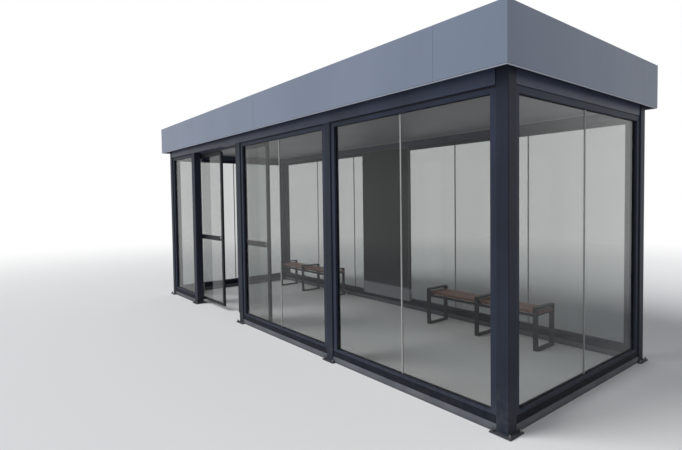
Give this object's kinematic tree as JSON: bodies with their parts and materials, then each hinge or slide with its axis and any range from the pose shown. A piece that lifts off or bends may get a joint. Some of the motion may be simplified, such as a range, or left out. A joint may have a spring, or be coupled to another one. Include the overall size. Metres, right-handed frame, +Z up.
{
  "type": "bus shelter",
  "caption": "Enclosed glass waiting shelter with steel posts, a flat roof behind a deep fascia, a sliding double door and benches inside.",
  "frame": {"origin": "centre of the plan, on the ground", "axes": "+X along the shelter towards the end beside the wide windows, the front with the door faces -Y, +Z up"},
  "size_m": [6.71, 2.55, 2.854],
  "materials": {
    "kerb": "pale grey cast strip",
    "post": "anthracite powder coat, satin",
    "frame": "anthracite powder coat, satin",
    "glass": "clear safety glass",
    "board": "black, satin",
    "board_base": "mid grey, satin",
    "head": "anthracite powder coat, satin",
    "roof_steel": "grey primer",
    "ceiling": "pale grey panels, matt",
    "soffit": "dark grey sheet",
    "roof_deck": "grey sandwich panel",
    "fascia": "blue-grey satin sheet",
    "door_steel": "dark grey, satin",
    "leaf": "anthracite powder coat, satin",
    "bench_steel": "black powder coat, satin",
    "bench_wood": "stained red-brown slats"
  },
  "bodies": {
    "shelter": {"kerb_front": "kerb", "kerb_rear": "kerb", "post_near_front": "post", "post_mullion": "post", "post_door_near": "post", "post_door_far": "post", "post_far_front": "post", "post_near_rear": "post", "post_far_rear": "post", "base_plates": "post", "rail_front": "frame", "rail_rear": "frame", "frame_bay_near": "frame", "frame_bay_middle": "frame", "frame_side_light": "frame", "frame_end_near": "frame", "frame_end_far": "frame", "frame_back": "frame", "glass_bay_near": "glass", "glass_bay_middle": "glass", "glass_side_light": "glass", "glass_end_near": "glass", "glass_end_far": "glass", "glass_back": "glass", "info_board": "board", "info_board_base": "board_base", "head_front": "head", "head_back": "head", "head_ends": "head", "roof_beams": "roof_steel", "roof_joists": "roof_steel", "ceiling": "ceiling", "soffit": "soffit", "roof_deck": "roof_deck", "fascia_front": "fascia", "fascia_back": "fascia", "fascia_ends": "fascia", "door_track": "door_steel", "floor_guides": "door_steel", "bench_near_frame": "bench_steel", "bench_near_slats": "bench_wood", "bench_far_frame": "bench_steel", "bench_far_slats": "bench_wood"},
    "far_leaf": {"leaf_far_frame": "leaf", "leaf_far_glass": "glass"},
    "near_leaf": {"leaf_near_frame": "leaf", "leaf_near_glass": "glass"}
  },
  "joints": [
    {"name": "far_leaf_slide", "type": "slide", "parent": "shelter", "child": "far_leaf", "axis": [-1, 0, 0], "range_m": [0, 0.735]},
    {"name": "near_leaf_slide", "type": "slide", "parent": "shelter", "child": "near_leaf", "axis": [1, 0, 0], "range_m": [-0.47, 0.265]}
  ]
}
